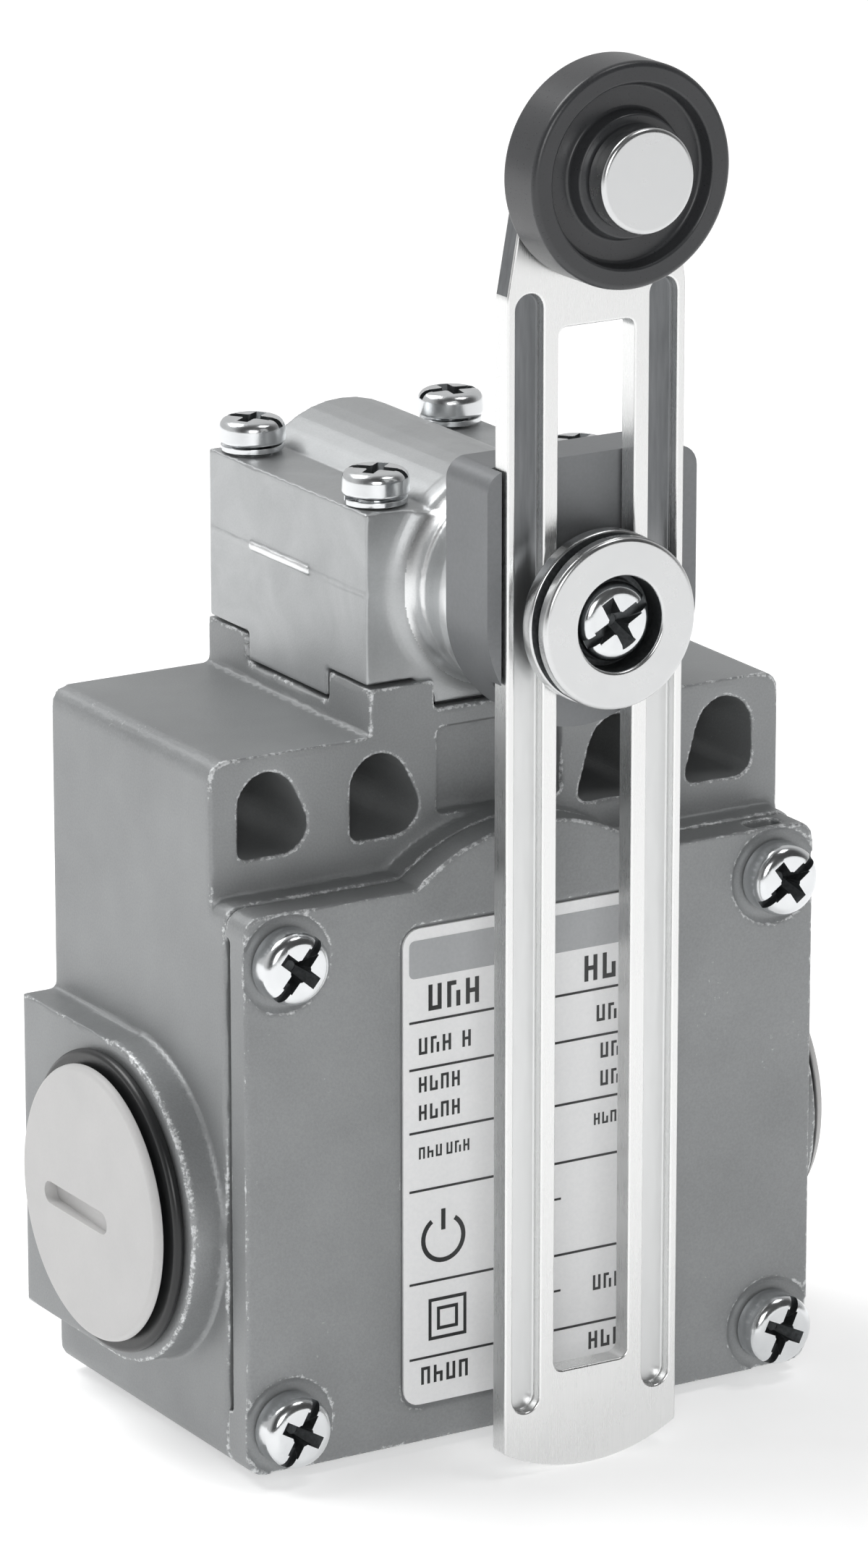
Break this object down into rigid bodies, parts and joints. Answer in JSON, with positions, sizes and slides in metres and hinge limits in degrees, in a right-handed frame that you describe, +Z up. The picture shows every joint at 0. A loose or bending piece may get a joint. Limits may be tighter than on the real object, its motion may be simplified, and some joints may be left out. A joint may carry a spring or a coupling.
{
  "type": "limit switch",
  "caption": "Metal-cased limit switch with a rotary head, a slotted length-adjustable lever arm with a roller, plugged side cable entries and slotted fixing holes.",
  "frame": {"origin": "on the flat back face of the casing, in the middle of the line of fixing holes", "axes": "+X to the right seen from the front, +Y into the machine wall the switch is screwed to (the lever faces -Y), +Z up"},
  "size_m": [0.0644, 0.0485, 0.1168],
  "materials": {
    "painted_casting": "grey textured paint on zinc die-casting",
    "bare_casting": "unpainted blasted die-casting",
    "plated_steel": "bright zinc or nickel plated steel",
    "seal_rubber": "black nitrile rubber",
    "label_foil": "printed silver-white foil",
    "white_plastic": "light moulded plastic",
    "dark_holder": "dark grey coated steel",
    "black_plastic": "black moulded plastic, satin",
    "bush_bronze": "sintered bronze",
    "contact_brass": "stamped brass",
    "block_plastic": "dark moulded thermoset",
    "lid_plastic": "ivory moulded plastic"
  },
  "bodies": {
    "switch_body": {"housing": "painted_casting", "cover": "painted_casting", "cover_gasket": "seal_rubber", "rating_plate": "label_foil", "cover_screw_top_left": "plated_steel", "cover_screw_top_right": "plated_steel", "cover_screw_bottom_left": "plated_steel", "cover_screw_bottom_right": "plated_steel", "cable_plug_left": "white_plastic", "cable_plug_right": "white_plastic", "plug_seal_left": "seal_rubber", "plug_seal_right": "seal_rubber", "head_body": "bare_casting", "head_gasket": "seal_rubber", "head_screw_front_left": "plated_steel", "head_screw_front_right": "plated_steel", "head_screw_rear_left": "plated_steel", "head_screw_rear_right": "plated_steel", "spring_washer_front_left": "plated_steel", "spring_washer_front_right": "plated_steel", "spring_washer_rear_left": "plated_steel", "spring_washer_rear_right": "plated_steel", "front_bush": "bush_bronze", "rear_bush": "bush_bronze", "shaft_seal": "seal_rubber", "return_spring": "plated_steel", "contact_block_base": "block_plastic", "contact_block_lid": "lid_plastic", "fixed_contact_upper_left": "contact_brass", "fixed_contact_upper_right": "contact_brass", "fixed_contact_lower_left": "contact_brass", "fixed_contact_lower_right": "contact_brass", "terminal_screw_upper_left": "plated_steel", "terminal_screw_upper_right": "plated_steel", "terminal_screw_lower_left": "plated_steel", "terminal_screw_lower_right": "plated_steel", "block_screw_left": "plated_steel", "block_screw_right": "plated_steel", "earth_washer": "contact_brass", "earth_screw": "plated_steel"},
    "lever_head": {"shaft": "plated_steel", "thrust_washer": "plated_steel", "lever_holder": "dark_holder", "clamp_disc": "plated_steel", "clamp_screw": "plated_steel"},
    "slotted_arm": {"lever_arm": "plated_steel", "roller_pin": "plated_steel", "roller_washer": "plated_steel"},
    "roller_wheel": {"roller": "black_plastic"},
    "plunger": {"plunger": "black_plastic"},
    "contact_carriage": {"contact_carrier": "lid_plastic", "normally_closed_bridge": "contact_brass", "normally_open_bridge": "contact_brass", "contact_spring": "plated_steel"}
  },
  "joints": [
    {"name": "lever_swing", "type": "hinge", "parent": "switch_body", "child": "lever_head", "pos_m": [0, -0.0345, 0.017], "axis": [0, 1, 0], "range_deg": [-75, 75], "stiffness_Nm_per_rad": 0.05},
    {"name": "arm_adjust", "type": "slide", "parent": "lever_head", "child": "slotted_arm", "axis": [0, 0, 1], "range_m": [-0.018, 0.055]},
    {"name": "roller_spin", "type": "hinge", "parent": "slotted_arm", "child": "roller_wheel", "pos_m": [0, -0.0438, 0.0531], "axis": [0, 1, 0], "continuous": true},
    {"name": "plunger_slide", "type": "slide", "parent": "switch_body", "child": "plunger", "axis": [0, 0, -1], "range_m": [0, 0.0023], "stiffness_N_per_m": 300, "springref_m": -0.01, "deforming": ["return_spring"]},
    {"name": "carrier_slide", "type": "slide", "parent": "switch_body", "child": "contact_carriage", "axis": [0, 0, -1], "range_m": [0, 0.0023]}
  ],
  "couplings": [
    {"joint": "carrier_slide", "follows": "plunger_slide", "ratio": 1}
  ]
}
